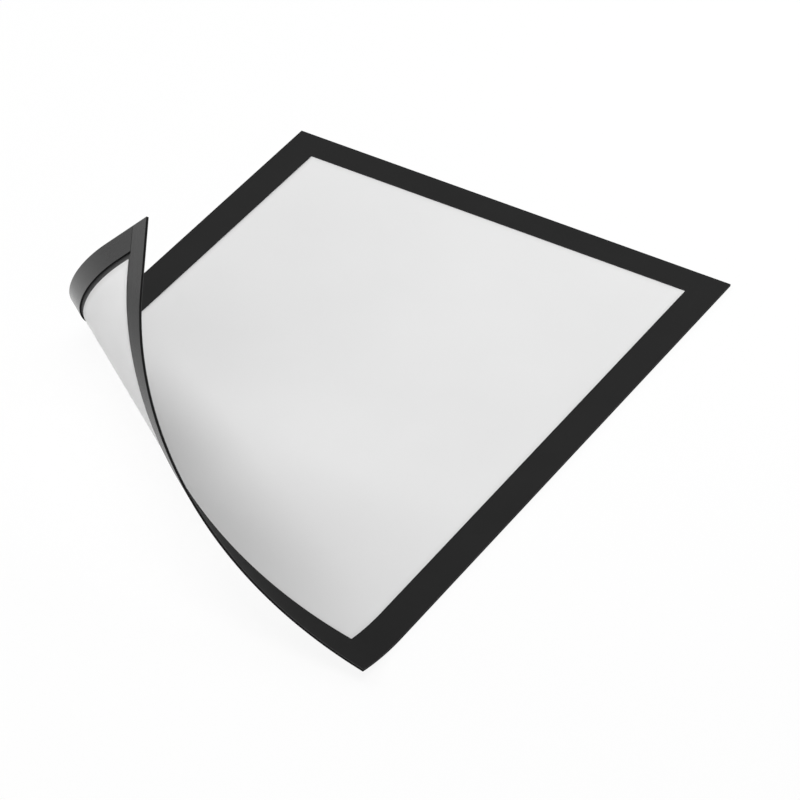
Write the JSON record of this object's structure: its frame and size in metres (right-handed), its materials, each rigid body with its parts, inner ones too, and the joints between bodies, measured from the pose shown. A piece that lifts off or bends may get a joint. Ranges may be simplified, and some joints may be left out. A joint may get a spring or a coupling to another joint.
{
  "type": "magnetic photo frame",
  "caption": "Flexible magnetic picture frame: black film border, pale pane and magnet strips on the back, with one corner peeled up and rolled over the front.",
  "frame": {"origin": "middle of the frame's outline, on the plane of the magnet strips' back faces", "axes": "+X to the right along the short side, +Y up along the long side, +Z out of the front; the rolled corner is at -X, -Y"},
  "size_m": [0.2365, 0.3228, 0.1165],
  "materials": {
    "border_film": "matte",
    "pane_film": "matte",
    "magnet_tape": "matte"
  },
  "bodies": {
    "lying_sheet": {"border": "border_film", "pane": "pane_film", "magnet_top": "magnet_tape", "magnet_left": "magnet_tape", "magnet_right": "magnet_tape"},
    "bend_01": {"border_bend_01": "border_film", "pane_bend_01": "pane_film", "magnet_bottom_bend_01": "magnet_tape", "magnet_left_bend_01": "magnet_tape", "magnet_right_bend_01": "magnet_tape"},
    "bend_02": {"border_bend_02": "border_film", "pane_bend_02": "pane_film", "magnet_bottom_bend_02": "magnet_tape", "magnet_left_bend_02": "magnet_tape", "magnet_right_bend_02": "magnet_tape"},
    "bend_03": {"border_bend_03": "border_film", "pane_bend_03": "pane_film", "magnet_bottom_bend_03": "magnet_tape", "magnet_left_bend_03": "magnet_tape"},
    "bend_04": {"border_bend_04": "border_film", "pane_bend_04": "pane_film", "magnet_bottom_bend_04": "magnet_tape", "magnet_left_bend_04": "magnet_tape"},
    "bend_05": {"border_bend_05": "border_film", "pane_bend_05": "pane_film", "magnet_bottom_bend_05": "magnet_tape", "magnet_left_bend_05": "magnet_tape"},
    "bend_06": {"border_bend_06": "border_film", "pane_bend_06": "pane_film", "magnet_bottom_bend_06": "magnet_tape", "magnet_left_bend_06": "magnet_tape"},
    "bend_07": {"border_bend_07": "border_film", "pane_bend_07": "pane_film", "magnet_bottom_bend_07": "magnet_tape", "magnet_left_bend_07": "magnet_tape"},
    "bend_08": {"border_bend_08": "border_film", "pane_bend_08": "pane_film", "magnet_bottom_bend_08": "magnet_tape", "magnet_left_bend_08": "magnet_tape"},
    "bend_09": {"border_bend_09": "border_film", "pane_bend_09": "pane_film", "magnet_bottom_bend_09": "magnet_tape", "magnet_left_bend_09": "magnet_tape"},
    "bend_10": {"border_bend_10": "border_film", "pane_bend_10": "pane_film", "magnet_bottom_bend_10": "magnet_tape", "magnet_left_bend_10": "magnet_tape"},
    "bend_11": {"border_bend_11": "border_film", "pane_bend_11": "pane_film", "magnet_bottom_bend_11": "magnet_tape", "magnet_left_bend_11": "magnet_tape"},
    "bend_12": {"border_bend_12": "border_film", "pane_bend_12": "pane_film", "magnet_bottom_bend_12": "magnet_tape", "magnet_left_bend_12": "magnet_tape"}
  },
  "joints": [
    {"name": "corner_peel", "type": "hinge", "parent": "lying_sheet", "child": "bend_01", "pos_m": [-0.118, 0.00913, 0.0012], "axis": [0.8484, -0.5293, 0], "range_deg": [0, 10]},
    {"name": "corner_peel_02", "type": "hinge", "parent": "bend_01", "child": "bend_02", "pos_m": [-0.11795, 0.00146, 0.00234], "axis": [0.8379, -0.5459, 0.0035], "range_deg": [0, 10]},
    {"name": "corner_peel_03", "type": "hinge", "parent": "bend_02", "child": "bend_03", "pos_m": [-0.11772, -0.00652, 0.00475], "axis": [0.8271, -0.5619, 0.0105], "range_deg": [0, 10]},
    {"name": "corner_peel_04", "type": "hinge", "parent": "bend_03", "child": "bend_04", "pos_m": [-0.11718, -0.01464, 0.0085], "axis": [0.8167, -0.5768, 0.021], "range_deg": [0, 10]},
    {"name": "corner_peel_05", "type": "hinge", "parent": "bend_04", "child": "bend_05", "pos_m": [-0.11617, -0.02272, 0.01366], "axis": [0.8067, -0.5899, 0.0348], "range_deg": [0, 10]},
    {"name": "corner_peel_06", "type": "hinge", "parent": "bend_05", "child": "bend_06", "pos_m": [-0.11451, -0.03055, 0.02022], "axis": [0.7977, -0.6008, 0.0516], "range_deg": [0, 10]},
    {"name": "corner_peel_07", "type": "hinge", "parent": "bend_06", "child": "bend_07", "pos_m": [-0.112, -0.03794, 0.02816], "axis": [0.7899, -0.6091, 0.071], "range_deg": [0, 10]},
    {"name": "corner_peel_08", "type": "hinge", "parent": "bend_07", "child": "bend_08", "pos_m": [-0.10846, -0.04471, 0.03738], "axis": [0.7837, -0.6142, 0.0924], "range_deg": [0, 10]},
    {"name": "corner_peel_09", "type": "hinge", "parent": "bend_08", "child": "bend_09", "pos_m": [-0.10366, -0.05065, 0.04773], "axis": [0.7793, -0.616, 0.1151], "range_deg": [0, 10]},
    {"name": "corner_peel_10", "type": "hinge", "parent": "bend_09", "child": "bend_10", "pos_m": [-0.09742, -0.05564, 0.05902], "axis": [0.7769, -0.6142, 0.1386], "range_deg": [0, 10]},
    {"name": "corner_peel_11", "type": "hinge", "parent": "bend_10", "child": "bend_11", "pos_m": [-0.08952, -0.05953, 0.071], "axis": [0.7766, -0.6087, 0.1621], "range_deg": [0, 10]},
    {"name": "corner_peel_12", "type": "hinge", "parent": "bend_11", "child": "bend_12", "pos_m": [-0.07978, -0.06226, 0.08337], "axis": [0.7786, -0.5996, 0.1849], "range_deg": [0, 10]}
  ],
  "couplings": [
    {"joint": "corner_peel_02", "follows": "corner_peel", "ratio": 1},
    {"joint": "corner_peel_03", "follows": "corner_peel", "ratio": 1},
    {"joint": "corner_peel_04", "follows": "corner_peel", "ratio": 1},
    {"joint": "corner_peel_05", "follows": "corner_peel", "ratio": 1},
    {"joint": "corner_peel_06", "follows": "corner_peel", "ratio": 1},
    {"joint": "corner_peel_07", "follows": "corner_peel", "ratio": 1},
    {"joint": "corner_peel_08", "follows": "corner_peel", "ratio": 1},
    {"joint": "corner_peel_09", "follows": "corner_peel", "ratio": 1},
    {"joint": "corner_peel_10", "follows": "corner_peel", "ratio": 1},
    {"joint": "corner_peel_11", "follows": "corner_peel", "ratio": 1},
    {"joint": "corner_peel_12", "follows": "corner_peel", "ratio": 1}
  ]
}
